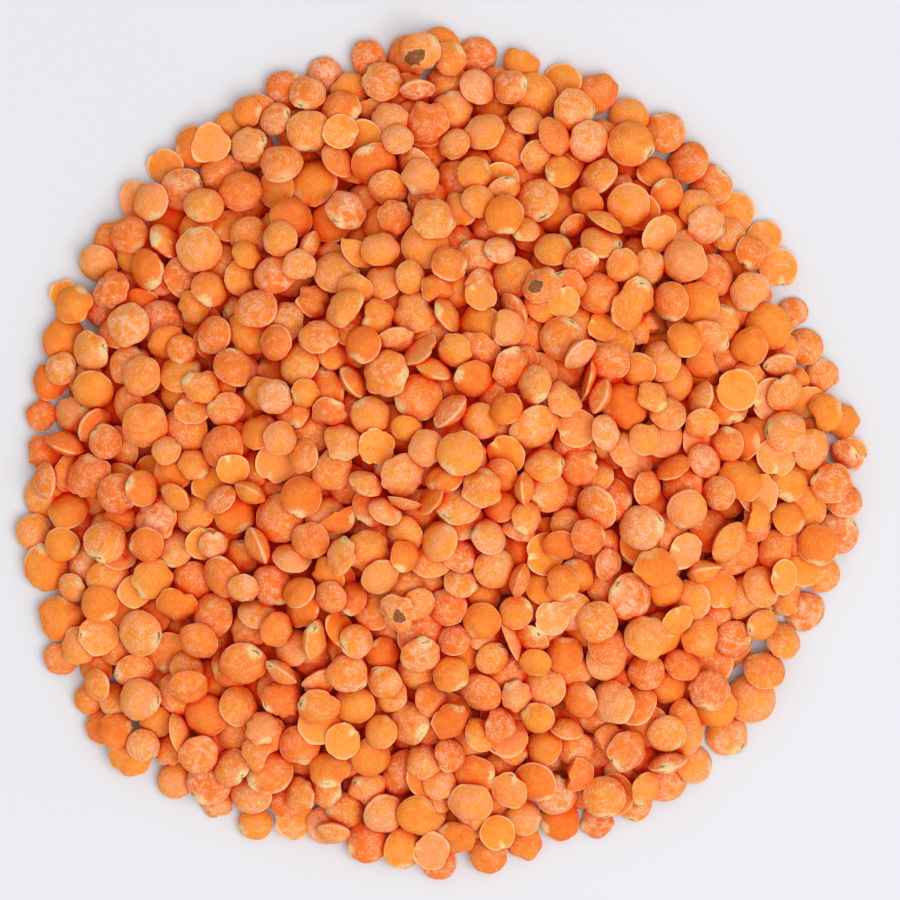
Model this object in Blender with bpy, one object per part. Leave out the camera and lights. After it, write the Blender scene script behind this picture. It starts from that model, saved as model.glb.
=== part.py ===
"""A loose heap of dry red lentils, as it lies on a bare flat surface.

The heap is one solid: a mound with the lentils of its outer layer fused on at their real size.
Its frame has +Z up, and its origin in the middle of the flat base.
"""

import math

import bmesh
import bpy
import numpy as np
from mathutils import Matrix, Vector

MM = 0.001

# The heap
HEAP_HIGH = 15.0 * MM
HEAP_FULLNESS = 1.7  # 1 is a cone, 2 is a dome
# How far the heap reaches from its middle, every 15 degrees, counted from +X towards +Y.
REACH = np.array(
    [45.6, 42.5, 43.2, 43.9, 43.8, 44.6, 45.7, 44.6, 44.3, 45.0, 45.2, 45.5]
    + [45.6, 47.2, 48.4, 49.0, 46.9, 44.5, 45.6, 44.4, 45.5, 45.1, 43.9, 45.0]
) * MM

# The lentils
LENTIL_ACROSS = 4.1 * MM
LENTIL_SPREAD = 0.1  # standard deviation of the sizes, as a share
LENTIL_SMALLEST = 0.76
LENTIL_LARGEST = 1.28
LENTIL_THICKNESS = 0.56  # of its width
EDGE_LENTILS = 64
LENTILS_ON_TOP = 230
TRIES_EACH = 40
EDGE_WANDER = 0.18  # of a lentil, how far the outermost ones lie in or out of line
LEAN = 0.2  # how far a lentil's face turns from the slope that it lies on
SEED = 8

# The faceted shapes
LENTIL_SIDES = 6
SHOULDER_OUT = 0.62  # where the dome's shoulder ring lies, as a share of the radius
SHOULDER_UP = 0.74  # and of half the thickness
CORE_RINGS = 5
CORE_SIDES = 36
CORE_ABOVE = 0.2 * MM  # how far the mound reaches up round the lentils, past their middles
FLOOR_GAP = 0.05 * MM

LENTIL_ORANGE = (0.86, 0.26, 0.06, 1.0)


def clear_scene():
    for obj in list(bpy.data.objects):
        bpy.data.objects.remove(obj)


def reach_at(angle):
    """The outline's radius at an angle: a smooth closed curve through the values of REACH."""
    count = len(REACH)
    place = np.asarray(angle) / (2 * math.pi) * count
    start = np.floor(place).astype(int)
    t = place - start
    before, here, after, beyond = (REACH[(start + k) % count] for k in (-1, 0, 1, 2))
    slope_here, slope_after = (after - before) / 2, (beyond - here) / 2
    rise = after - here
    return (
        here
        + slope_here * t
        + (3 * rise - 2 * slope_here - slope_after) * t**2
        + (slope_here + slope_after - 2 * rise) * t**3
    )


def middle_height(x, y):
    """How high the middle of a lentil of the outer layer lies: half its thickness at the heap's edge."""
    thick = LENTIL_ACROSS * LENTIL_THICKNESS
    edge = reach_at(np.arctan2(y, x)) - LENTIL_ACROSS / 2
    share = np.minimum(np.hypot(x, y) / edge, 1.0)
    return thick / 2 + (HEAP_HIGH - thick) * (1 - share**HEAP_FULLNESS)


def lentil_widths(draw, count):
    shares = draw.normal(1.0, LENTIL_SPREAD, count)
    return LENTIL_ACROSS * np.clip(shares, LENTIL_SMALLEST, LENTIL_LARGEST)


def edge_places(draw):
    """The lentils that lie on the surface along the heap's outline, as x, y and width."""
    widths = lentil_widths(draw, EDGE_LENTILS)
    angles = (np.arange(EDGE_LENTILS) + draw.uniform(-0.2, 0.2, EDGE_LENTILS)) * 2 * math.pi / EDGE_LENTILS
    outward = LENTIL_ACROSS * EDGE_WANDER * draw.uniform(-1, 1, EDGE_LENTILS)
    radii = reach_at(angles) - widths / 2 + outward
    return np.column_stack([radii * np.cos(angles), radii * np.sin(angles), widths])


def spread_places(draw, places):
    """Adds the lentils on top, the largest first, each at the emptiest of a few places drawn for it."""
    for width in np.sort(lentil_widths(draw, LENTILS_ON_TOP))[::-1]:
        angles = draw.uniform(0, 2 * math.pi, TRIES_EACH)
        shares = np.sqrt(draw.uniform(0, 1, TRIES_EACH))
        radii = shares * (reach_at(angles) - width / 2)
        x, y = radii * np.cos(angles), radii * np.sin(angles)
        apart = np.hypot(x[:, None] - places[:, 0], y[:, None] - places[:, 1])
        room = (apart / (places[:, 2] + width)).min(axis=1)
        best = room.argmax()
        places = np.vstack([places, [x[best], y[best], width]])
    return places


def slope_normal(x, y):
    """The direction square to the mound at a place, from its height a little to either side."""
    step = LENTIL_ACROSS / 4
    along_x = (middle_height(x + step, y) - middle_height(x - step, y)) / (2 * step)
    along_y = (middle_height(x, y + step) - middle_height(x, y - step)) / (2 * step)
    return np.array([-along_x, -along_y, 1.0])


def add_ring(mesh, radius, height):
    """A ring of LENTIL_SIDES points about the Z axis."""
    turns = [2 * math.pi * k / LENTIL_SIDES for k in range(LENTIL_SIDES)]
    return [mesh.verts.new((radius * math.cos(t), radius * math.sin(t), height)) for t in turns]


def lentil_object(name, width, turned):
    """A faceted lentil: a pointed underside, a round rim and a domed top with a flat crown."""
    half_thick = width * LENTIL_THICKNESS / 2
    mesh = bmesh.new()
    foot = mesh.verts.new((0, 0, -half_thick))
    rim = add_ring(mesh, width / 2, 0)
    shoulder = add_ring(mesh, width / 2 * SHOULDER_OUT, half_thick * SHOULDER_UP)
    for k in range(LENTIL_SIDES):
        after = (k + 1) % LENTIL_SIDES
        mesh.faces.new((foot, rim[after], rim[k]))
        mesh.faces.new((rim[k], rim[after], shoulder[after], shoulder[k]))
    mesh.faces.new(shoulder)
    mesh.transform(turned)
    data = bpy.data.meshes.new(name)
    mesh.to_mesh(data)
    mesh.free()
    return bpy.data.objects.new(name, data)


def lentil_turn(draw, x, y, width):
    """Where a lentil lies and how it is turned: face up on the slope, leaning a little at random."""
    normal = Vector(slope_normal(x, y) + np.append(draw.normal(0, LEAN, 2), 0)).normalized()
    lean = normal.to_track_quat("Z", "Y").to_matrix().to_4x4()
    spin = Matrix.Rotation(draw.uniform(0, 2 * math.pi), 4, "Z")
    sideways = math.hypot(normal.x, normal.y)
    half_high = width / 2 * math.hypot(sideways, LENTIL_THICKNESS * normal.z)
    height = max(middle_height(x, y), half_high + FLOOR_GAP)
    return Matrix.Translation((x, y, height)) @ lean @ spin


def core_object():
    """The mound under the lentils: rings of points up its skin, and a flat base."""
    mesh = bmesh.new()
    angles = np.arange(CORE_SIDES) * 2 * math.pi / CORE_SIDES
    edge = reach_at(angles) - LENTIL_ACROSS / 2
    crown = mesh.verts.new((0, 0, HEAP_HIGH - LENTIL_ACROSS * LENTIL_THICKNESS / 2 + CORE_ABOVE))
    rings = []
    for share in np.arange(1, CORE_RINGS + 1) / CORE_RINGS:
        x, y = share * edge * np.cos(angles), share * edge * np.sin(angles)
        z = middle_height(x, y) + CORE_ABOVE
        rings.append([mesh.verts.new(point) for point in zip(x, y, z)])
    rings.append([mesh.verts.new((point.co.x, point.co.y, 0)) for point in rings[-1]])
    for k in range(CORE_SIDES):
        after = (k + 1) % CORE_SIDES
        mesh.faces.new((crown, rings[0][k], rings[0][after]))
        for upper, lower in zip(rings, rings[1:]):
            mesh.faces.new((upper[k], lower[k], lower[after], upper[after]))
    mesh.faces.new(rings[-1][::-1])
    data = bpy.data.meshes.new("lentil_heap")
    mesh.to_mesh(data)
    mesh.free()
    core = bpy.data.objects.new("lentil_heap", data)
    bpy.context.scene.collection.objects.link(core)
    return core


def fuse(core, lentils):
    """Joins the lentils to the mound with one Boolean union, and removes the separate ones."""
    pieces = bpy.data.collections.new("lentils")
    bpy.context.scene.collection.children.link(pieces)
    for lentil in lentils:
        pieces.objects.link(lentil)
    union = core.modifiers.new("fuse", "BOOLEAN")
    union.operation = "UNION"
    union.operand_type = "COLLECTION"
    union.collection = pieces
    bpy.context.view_layer.objects.active = core
    bpy.ops.object.modifier_apply(modifier=union.name)
    for lentil in list(pieces.objects):
        bpy.data.objects.remove(lentil)
    bpy.data.collections.remove(pieces)


def keep_outer_shell(core):
    """Fills hollows that the union sealed and drops loose scraps, by keeping the largest shell alone."""
    mesh = bmesh.new()
    mesh.from_mesh(core.data)
    unseen, shells = set(mesh.verts), []
    while unseen:
        shell, front = set(), [unseen.pop()]
        while front:
            vert = front.pop()
            shell.add(vert)
            linked = {edge.other_vert(vert) for edge in vert.link_edges} & unseen
            unseen -= linked
            front.extend(linked)
        shells.append(shell)
    shells.sort(key=len)
    for shell in shells[:-1]:
        bmesh.ops.delete(mesh, geom=list(shell), context="VERTS")
    mesh.to_mesh(core.data)
    mesh.free()


def centre_on_base(core):
    """Moves the mesh so that the origin is in the middle of the heap's box, on its base."""
    points = np.array([vert.co for vert in core.data.vertices])
    middle = (points.min(axis=0) + points.max(axis=0)) / 2
    core.data.transform(Matrix.Translation((-middle[0], -middle[1], 0)))


def lentil_material():
    material = bpy.data.materials.new("lentil")
    material.use_nodes = True
    shader = material.node_tree.nodes["Principled BSDF"]
    shader.inputs["Base Color"].default_value = LENTIL_ORANGE
    shader.inputs["Roughness"].default_value = 0.7
    shader.inputs["Metallic"].default_value = 0.0
    return material


def build_heap():
    draw = np.random.default_rng(SEED)
    places = spread_places(draw, edge_places(draw))
    lentils = [
        lentil_object(f"lentil_{k}", width, lentil_turn(draw, x, y, width))
        for k, (x, y, width) in enumerate(places)
    ]
    core = core_object()
    fuse(core, lentils)
    keep_outer_shell(core)
    centre_on_base(core)
    core.data.materials.clear()
    core.data.materials.append(lentil_material())


clear_scene()
build_heap()
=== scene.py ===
"""A loose heap of dry red lentils on a pale floor, laid lentil by lentil near the places of the solid's.

Each lentil is dropped onto the relief of those that lie there already, and comes to rest where its middle
is lowest.
"""

import functools
import math

import bpy
import numpy as np
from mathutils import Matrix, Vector


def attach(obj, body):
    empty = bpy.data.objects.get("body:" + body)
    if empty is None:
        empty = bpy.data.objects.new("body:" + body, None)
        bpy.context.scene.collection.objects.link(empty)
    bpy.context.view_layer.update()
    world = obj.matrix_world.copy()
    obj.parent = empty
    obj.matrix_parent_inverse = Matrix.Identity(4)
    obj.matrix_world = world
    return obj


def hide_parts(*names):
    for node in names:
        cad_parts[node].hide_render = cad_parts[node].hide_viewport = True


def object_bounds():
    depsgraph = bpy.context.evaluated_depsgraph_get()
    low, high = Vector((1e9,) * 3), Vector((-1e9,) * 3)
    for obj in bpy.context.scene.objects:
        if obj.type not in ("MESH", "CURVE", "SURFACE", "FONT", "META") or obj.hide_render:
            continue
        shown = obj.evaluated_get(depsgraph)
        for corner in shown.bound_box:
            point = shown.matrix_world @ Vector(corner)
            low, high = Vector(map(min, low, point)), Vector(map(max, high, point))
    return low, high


bl_info = {
    "name": "Heap of red lentils",
    "version": (1, 0, 0),
    "blender": (4, 5, 0),
    "location": "3D View > Sidebar > Lentils",
    "description": "Lays a loose heap of dry red lentils, and its floor, light and camera",
    "category": "Add Mesh",
}

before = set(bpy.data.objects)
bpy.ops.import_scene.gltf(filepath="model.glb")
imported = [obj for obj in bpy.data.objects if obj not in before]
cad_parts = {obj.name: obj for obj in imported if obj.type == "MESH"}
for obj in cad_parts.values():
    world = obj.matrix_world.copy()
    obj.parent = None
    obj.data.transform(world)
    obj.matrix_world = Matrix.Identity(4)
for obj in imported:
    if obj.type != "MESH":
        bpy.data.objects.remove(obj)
SOLID_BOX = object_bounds()

BODY = "root"
NODE = "lentil_heap"
MM = 0.001

# How far the heap reaches from its middle, every 15 degrees, counted from +X towards +Y, as in the solid
REACH = np.array(
    [45.6, 42.5, 43.2, 43.9, 43.8, 44.6, 45.7, 44.6, 44.3, 45.0, 45.2, 45.5]
    + [45.6, 47.2, 48.4, 49.0, 46.9, 44.5, 45.6, 44.4, 45.5, 45.1, 43.9, 45.0]
) * MM
HEAP_FULLNESS = 1.7  # 1 is a cone, 2 is a dome
LENTIL_SPREAD = 0.1  # standard deviation of the widths, as a share
LENTIL_SMALLEST = 0.76
LENTIL_LARGEST = 1.28
TRIES_EACH = 40
TURN_WANDER = 0.2  # how far an edge lentil lies off its turn, as a share of the step to the next one
EDGE_WANDER = 0.18  # and how far in or out of line, as a share of a middling lentil's width

# Where the lentils with a scrap of husk lie
HUSKED_PLACES = np.array([(-1.2, 43.1), (11.2, 16.9), (-3.7, -15.9)]) * MM

# The kinds: how common each is, how thick beside a whole lentil, how far out it is cut off as a share of
# its radius, and how far its middle lies from its rim's plane, in half thicknesses. A kind that isn't
# named is as thick as a whole one, uncut and even.
KIND_SHARES = {
    "whole": 0.38,
    "dusty": 0.335,
    "half_dome_up": 0.11,
    "half_flat_up": 0.13,
    "chipped": 0.03,
    "bit": 0.015,
}
KIND_THICKNESS = {"half_dome_up": 0.55, "half_flat_up": 0.55, "bit": 0.7}
KIND_CUT = {"chipped": (0.58, 0.88), "bit": (0.1, 0.45)}
KIND_MIDDLE = {"half_flat_up": -0.7, "half_dome_up": 0.5}
UNCUT = 9.0

# The relief that the lentils are dropped onto
RELIEF_CELL = 0.2 * MM
RELIEF_HALF_SIDE = 53.0 * MM
FLAT_FACE = 0.16  # how far a split half's flat face lies above its rim, as a share of half its thickness

# How a lentil is laid
ROUNDED = 1.05  # a round lentil is wider than the solid's, whose width is across its corners
THICKNESS_RANGE = (0.84, 1.08)
NESTLE_WIDE = 0.97  # lentils sink into each other a little: each is laid as one this much smaller
NESTLE_THICK = 0.93
LYING = (0.0, math.radians(30))  # how far a lentil tips over
LEANING = (math.radians(42), math.radians(82))
MAY_LEAN = ("top", "filler", "border")
POSES = 40
CLOSER = (1, 3, 9)  # how much nearer to the best pose so far each round of poses is drawn
TILT_SPREAD = 0.6  # how far apart the poses of the first round count as, for the next ones
TURN_SPREAD = 2.0
OUTWARD_COST = 3.0  # how much higher a pose counts for each length that it reaches past the outline
HIGHEST_ABOVE = 1.5 * MM  # a lentil that would lie higher over its layer is dropped again
FURTHER_OFF = (1, 3, 5)  # this many times as far from its place, and is left out after the last try

# Where the hidden lentils are laid: of so many places drawn, at the one with the deepest gap. The relief
# is read there and so far to its four sides, as a share of a lentil.
FILL_PLACES = 150
GAP_APART = 0.3
FILL_WANDER = 0.5 * MM
FILL_MISSES = 4  # so many rounds without a gap that is deep enough, and the layer is full
BEHIND_EDGE_PLACES = 400
BEHIND_EDGE_FROM = 0.78  # of the way from the heap's middle to its edge lentils
ROOM_APART = 0.42
FLOOR_IS_FREE = 0.6 * MM  # relief that is lower than this leaves room for a lentil on the floor
FLOOR_WANDER = 0.8 * MM
HOLE_PLACES = 12000
HOLES_FROM = 0.7
HOLES_INSET = 0.9  # holes nearer to the outline than this share of a lentil stay open
HOLES_LEFT = 3  # and so do all once fewer of the places drawn fall into one
FLOOR_SHOWS = 0.1 * MM
HOLE_WANDER = 0.9 * MM
TOP_WANDER = 0.7 * MM
HUSKED_WANDER = 1.0 * MM

# A lentil's shape, in its own radius, with angles from its sprout
LARGE_WAVES, LARGE_WAVE_HIGH = (2, 3, 4, 5), 0.03
SMALL_WAVES, SMALL_WAVE_HIGH = (6, 8, 11, 13), 0.045
HUMP_HIGH, HUMP_AT, HUMP_WIDE = 0.05, 0.42, 0.28
NOTCH_DEEP, NOTCH_AT, NOTCH_WIDE = 0.07, 0.0, 0.2
SLIT_DEEP, SLIT_AT, SLIT_WIDE = 0.12, 0.1, 0.14
NICK_DEEP, NICK_WIDE = 0.11, 0.22
RAGGED_WAVES, RAGGED_HIGH = (2, 3, 5, 8), 0.16
RIDGE_HIGH, RIDGE_X, RIDGE_Y = 0.22, 0.82, 0.2
RIDGE_LONG, RIDGE_WIDE = 0.2, 0.32
DENT = 0.05
DENT_WAVES = (4.5, 6.0, 8.0)
BLUNT = 0.05  # how thick the skin's edge is beside its middle
FALL = 2.3  # 2 is a round fall from the middle to the rim, and a higher one keeps it flat for longer
DOME_POWER = (0.78, 1.04)
HALF_DOME = 1.6  # how high a split half's round side is beside half its thickness
FLAT_ABOVE = 0.3  # and how high its flat face at most, where that lies on top
FLAT_BELOW = 0.35  # or how far down it swells where it lies below
SOFT_CORNER = 14.0  # the higher, the sharper the corner between a rim and the line that a chip cuts it at
SHARP_FROM = math.radians(50)
SEEN_ENOUGH = 0.1  # a lentil that shows less of itself from above is a buried one

# How freely a point lies: in how many directions that is tried, and how near the neighbours tried are
RAYS = 32
NEIGHBOURS_WITHIN = 8.0 * MM
WELL_INSIDE = -0.25  # the quadratic's constant is 0 on a neighbour's skin and -1 in its middle

# The core
CORE_SIDES = 72
CORE_RINGS = 16
CORE_ABOVE = 0.1 * MM
SKIRT_INSET = 1.6  # how far inside the outline the skirt on the floor ends, as a share of a lentil
SKIRT_HIGH = 0.15 * MM

# How fine the patterns of the skin are, as waves in a metre
MOTTLE_SCALE = 650.0
RAG_SCALE = 900.0
PATCH_SCALE = 1000.0
GRAIN_SCALE = 3000.0
FINE_SCALE = 7000.0

# The colours of small marks, as linear light
HEAVY_FLOUR = (0.94, 0.50, 0.31, 1.0)
FLECK = (0.95, 0.57, 0.39, 1.0)
# the rim's pale line: partly its own colour, partly painted highlight
PALE_RIM_AND_HIGHLIGHT = (0.95, 0.52, 0.26, 1.0)
SMUDGE = (0.46, 0.30, 0.13, 1.0)
SEED_SCAR = (0.16, 0.12, 0.06, 1.0)
DARK_HUSK = (0.22, 0.072, 0.022, 1.0)
HUSK_SPECK = (0.52, 0.29, 0.15, 1.0)
TORN_EDGE = (0.93, 0.55, 0.30, 1.0)
FLOOR_CLOUD = (0.70, 0.705, 0.735, 1.0)

# The stage
FLOOR_HALF_SIDE = 2.0
LIGHT_PLACE = (0.35, -0.25, 0.9)
LIGHT_SIDE = 0.9
LIGHT_POWER = 8.0
ROOM_WHITE = (1.0, 1.0, 1.0, 1.0)
ROOM_STRENGTH = 0.64
CAMERA_HIGH = 0.6
CAMERA_X = 0.92 * MM
CAMERA_Y = 0.38 * MM
FRAME_WIDE = 97.8 * MM
SENSOR_WIDE = 36.0


class LentilHeapSizes(bpy.types.PropertyGroup):
    """The sizes and counts of the heap."""

    heap_high: bpy.props.FloatProperty(
        name="Heap height",
        description="From the floor to the crown of the lentils in the middle",
        default=round(SOLID_BOX[1].z, 4),
        unit="LENGTH",
    )
    lentil_across: bpy.props.FloatProperty(
        name="Lentil width",
        description="Width of a middling lentil",
        default=4.1 * MM,
        unit="LENGTH",
    )
    lentil_thickness: bpy.props.FloatProperty(
        name="Lentil thickness",
        description="Thickness of a whole lentil, as a share of its width",
        default=0.56,
        subtype="FACTOR",
    )
    edge_lentils: bpy.props.IntProperty(
        name="Edge lentils",
        description="How many lentils lie on the floor along the outline",
        default=64,
    )
    lentils_on_top: bpy.props.IntProperty(
        name="Lentils on top",
        description="How many lentils lie in full view inside the outline",
        default=230,
    )
    filled_depth: bpy.props.FloatProperty(
        name="Filled depth",
        description="How deep the lentils lie under the ones in view before the plain core starts",
        default=5.5 * MM,
        unit="LENGTH",
    )
    leaning_share: bpy.props.FloatProperty(
        name="Leaning share",
        description="Share of the lentils that stand on their rim or lean steeply",
        default=0.18,
        subtype="FACTOR",
    )
    seed: bpy.props.IntProperty(
        name="Seed",
        description="Another number lays another heap",
        default=8,
    )


class LentilHeapColours(bpy.types.PropertyGroup):
    """The colours of the lentils, of the painted shade between them and of the floor, as linear light."""

    deep: bpy.props.FloatVectorProperty(
        name="Deep orange",
        description="The reddest lentils",
        default=(0.86, 0.168, 0.020, 1),
        size=4,
        subtype="COLOR",
    )
    orange: bpy.props.FloatVectorProperty(
        name="Orange",
        description="Most of the lentils",
        default=(0.89, 0.234, 0.032, 1),
        size=4,
        subtype="COLOR",
    )
    golden: bpy.props.FloatVectorProperty(
        name="Golden orange",
        description="The yellowest lentils",
        default=(0.91, 0.318, 0.038, 1),
        size=4,
        subtype="COLOR",
    )
    salmon: bpy.props.FloatVectorProperty(
        name="Salmon",
        description="The pinkest lentils, and the flat faces of halves",
        default=(0.92, 0.325, 0.110, 1),
        size=4,
        subtype="COLOR",
    )
    dust: bpy.props.FloatVectorProperty(
        name="Dust",
        description="The fine pale flour on a rubbed lentil",
        default=(0.94, 0.46, 0.255, 1),
        size=4,
        subtype="COLOR",
    )
    sprout: bpy.props.FloatVectorProperty(
        name="Sprout",
        description="The cream patch by the rim, where the sprout lies",
        default=(0.90, 0.64, 0.30, 1),
        size=4,
        subtype="COLOR",
    )
    # Painted shade: the dark red mixed into a lentil's skin where it lies shut in among its neighbours, and
    # the core's colour
    painted_shade_red: bpy.props.FloatVectorProperty(
        name="Painted shade red",
        description="The red of a lentil that light reaches through its neighbours",
        default=(0.90, 0.020, 0.001, 1),
        size=4,
        subtype="COLOR",
    )
    husk: bpy.props.FloatVectorProperty(
        name="Husk",
        description="A scrap of husk left on",
        default=(0.35, 0.118, 0.042, 1),
        size=4,
        subtype="COLOR",
    )
    floor: bpy.props.FloatVectorProperty(
        name="Floor",
        description="The floor under the heap",
        default=(0.685, 0.69, 0.72, 1),
        size=4,
        subtype="COLOR",
    )


def sizes():
    return bpy.context.scene.lentil_heap_sizes


def colours():
    return bpy.context.scene.lentil_heap_colours


def reach_at(angle):
    """The outline's radius at an angle: a smooth closed curve through the values of REACH.

    Between two values it is a cubic, and its slope at each value is half the difference of those beside it.
    """
    count = len(REACH)
    place = np.asarray(angle) / (2 * math.pi) * count
    start = np.floor(place).astype(int)
    t = place - start
    before, here, after, beyond = (REACH[(start + k) % count] for k in (-1, 0, 1, 2))
    slope_here, slope_after = (after - before) / 2, (beyond - here) / 2
    rise = after - here
    return (
        here
        + slope_here * t
        + (3 * rise - 2 * slope_here - slope_after) * t**2
        + (slope_here + slope_after - 2 * rise) * t**3
    )


def on_heap(angles, shares, inset):
    """The x and y of places at shares of the way from the middle to a line inset from the outline."""
    radii = shares * (reach_at(angles) - inset)
    return radii * np.cos(angles), radii * np.sin(angles)


def middle_height(x, y):
    """How high the middle of a lentil of the outer layer lies.

    It is half a lentil's thickness at the edge, and rises from there with 1 less share^HEAP_FULLNESS, where
    share is the way out from the heap's middle.
    """
    across = sizes().lentil_across
    thick = across * sizes().lentil_thickness
    edge = reach_at(np.arctan2(y, x)) - across / 2
    share = np.minimum(np.hypot(x, y) / edge, 1.0)
    return thick / 2 + (sizes().heap_high - thick) * (1 - share**HEAP_FULLNESS)


def core_height(x, y):
    """The plain core's height: a fixed depth below the outer layer, and never under the floor."""
    return np.maximum(middle_height(x, y) - sizes().filled_depth, 0.0)


def lentil_widths(draw, count):
    shares = draw.normal(1.0, LENTIL_SPREAD, count)
    return sizes().lentil_across * np.clip(shares, LENTIL_SMALLEST, LENTIL_LARGEST)


def edge_places(draw):
    """The lentils that lie on the floor along the heap's outline, as x, y and width."""
    count = sizes().edge_lentils
    widths = lentil_widths(draw, count)
    turns = np.arange(count) + draw.uniform(-TURN_WANDER, TURN_WANDER, count)
    angles = turns * 2 * math.pi / count
    outward = sizes().lentil_across * EDGE_WANDER * draw.uniform(-1, 1, count)
    radii = reach_at(angles) - widths / 2 + outward
    return np.column_stack([radii * np.cos(angles), radii * np.sin(angles), widths])


def spread_places(draw, places):
    """Adds the lentils on top, the largest first, each at the emptiest of a few places drawn for it."""
    for width in np.sort(lentil_widths(draw, sizes().lentils_on_top))[::-1]:
        angles = draw.uniform(0, 2 * math.pi, TRIES_EACH)
        shares = np.sqrt(draw.uniform(0, 1, TRIES_EACH))
        x, y = on_heap(angles, shares, width / 2)
        apart = np.hypot(x[:, None] - places[:, 0], y[:, None] - places[:, 1])
        room = (apart / (places[:, 2] + width)).min(axis=1)
        best = room.argmax()
        places = np.vstack([places, [x[best], y[best], width]])
    return places


class Relief:
    """How high what lies there reaches, and which lentil it is, on a square grid of cells."""

    def __init__(self):
        self.ticks = np.arange(-RELIEF_HALF_SIDE, RELIEF_HALF_SIDE, RELIEF_CELL)
        x, y = np.meshgrid(self.ticks, self.ticks, indexing="ij")
        self.high = core_height(x, y)
        self.owner = np.full(self.high.shape, -1)

    def window(self, x, y, reach):
        """The cells within reach of a place, as a pair of slices, and their x and y."""
        low = np.searchsorted(self.ticks, (x - reach, y - reach))
        high = np.searchsorted(self.ticks, (x + reach, y + reach))
        cells = (slice(low[0], high[0]), slice(low[1], high[1]))
        cell_x, cell_y = np.meshgrid(self.ticks[cells[0]], self.ticks[cells[1]], indexing="ij")
        return cells, cell_x, cell_y

    def around(self, x, y, apart):
        """The mean height at places and a step to their four sides."""
        total = 0
        for dx, dy in ((0, 0), (1, 0), (-1, 0), (0, 1), (0, -1)):
            i = np.searchsorted(self.ticks, x + dx * apart)
            j = np.searchsorted(self.ticks, y + dy * apart)
            total = total + self.high[i, j]
        return total / 5

    def lay(self, number, place, axes, half_wide, half_thick, kind, cut):
        """Raises the cells under a lentil to its top, flat on a split half and cut off on a chipped one."""
        cells, cell_x, cell_y = self.window(place[0], place[1], half_wide + RELIEF_CELL)
        dx, dy = cell_x - place[0], cell_y - place[1]
        inside, low, top = spheroid_at(dx, dy, axes[2][:, None, None], half_wide, half_thick)
        if kind == "half_flat_up":
            face = (half_thick * FLAT_FACE - axes[2][0] * dx - axes[2][1] * dy) / axes[2][2]
            inside &= face > low
            top = np.minimum(top, face)
        local = [axis[0] * dx + axis[1] * dy + axis[2] * top for axis in axes[:2]]
        inside &= local[0] * math.cos(cut[0]) + local[1] * math.sin(cut[0]) < cut[1] * half_wide
        top = np.where(inside, place[2] + top, -1.0)
        covered = top > self.high[cells]
        self.high[cells][covered] = top[covered]
        self.owner[cells][covered] = number


def spheroid_at(dx, dy, normal, half_wide, half_thick):
    """Where upright lines at dx, dy from the middle of a flattened spheroid cross its lower and upper skin.

    The skin is wide * |p|^2 + (thick - wide) * (p . normal)^2 = 1, a quadratic in z for each line.
    """
    wide, thick = 1 / half_wide**2, 1 / half_thick**2
    across = normal[0] * dx + normal[1] * dy
    square = wide + (thick - wide) * normal[2] ** 2
    linear = (thick - wide) * normal[2] * across
    constant = wide * (dx**2 + dy**2) + (thick - wide) * across**2 - 1
    inside = linear**2 - square * constant
    root = np.sqrt(np.maximum(inside, 0.0))
    return inside > 0, (-linear - root) / square, (-linear + root) / square


def normals_of(tilts, turns):
    """Unit vectors leaning by tilts from upright, towards turns."""
    return np.array([np.sin(tilts) * np.cos(turns), np.sin(tilts) * np.sin(turns), np.cos(tilts)])


def axes_of(normal, spin):
    """A lentil's own axes as rows: its sprout's direction, the one across it, and its face's."""
    side = np.cross(normal, (0.31, 0.95, 0.0))
    side /= np.linalg.norm(side)
    along = side * math.cos(spin) + np.cross(normal, side) * math.sin(spin)
    return np.array([along, np.cross(normal, along), normal])


def draw_cut(draw, kind):
    """Where a lentil is cut off: the direction in its own plane, and how far out, in its own radius."""
    least, most = KIND_CUT.get(kind, (UNCUT, UNCUT))
    return draw.uniform(0, 2 * math.pi), draw.uniform(least, most)


def draw_kinds(draw, count):
    return draw.choice(list(KIND_SHARES), count, p=list(KIND_SHARES.values()))


def settle(relief, draw, x, y, half_wide, half_thick, tilt_range, wander):
    """Where a lentil dropped near a place comes to rest, and its normal: of many poses, the lowest one.

    Each round draws poses closer round the best one so far. A pose that reaches past the outline counts as
    higher, the further out the more.
    """
    cells, cell_x, cell_y = relief.window(x, y, half_wide + wander + RELIEF_CELL)
    under = relief.high[cells]
    least, most = tilt_range
    best, least_score = None, math.inf
    for closer in CLOSER:
        if best is None:
            tilts = draw.uniform(least, most, POSES)
            turns = draw.uniform(-math.pi, math.pi, POSES)
            xs = x + draw.uniform(-wander, wander, POSES)
            ys = y + draw.uniform(-wander, wander, POSES)
        else:
            tilts = np.clip(best[2] + draw.normal(0, TILT_SPREAD / closer, POSES), least, most)
            turns = best[3] + draw.normal(0, TURN_SPREAD / closer, POSES)
            xs = np.clip(best[0] + draw.normal(0, 1, POSES) * wander / closer, x - wander, x + wander)
            ys = np.clip(best[1] + draw.normal(0, 1, POSES) * wander / closer, y - wander, y + wander)
        normals = normals_of(tilts, turns)[:, :, None, None]
        dx = cell_x - xs[:, None, None]
        dy = cell_y - ys[:, None, None]
        inside, low, _ = spheroid_at(dx, dy, normals, half_wide, half_thick)
        heights = np.where(inside, under - low, -1.0).max(axis=(1, 2))
        outside = np.hypot(xs, ys) + half_wide - reach_at(np.arctan2(ys, xs))
        score = heights + OUTWARD_COST * np.maximum(outside, 0.0)
        pick = score.argmin()
        if score[pick] < least_score:
            least_score = score[pick]
            best = (xs[pick], ys[pick], tilts[pick], turns[pick], heights[pick])
    return np.array([best[0], best[1], best[4]]), normals_of(best[2], best[3])


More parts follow.
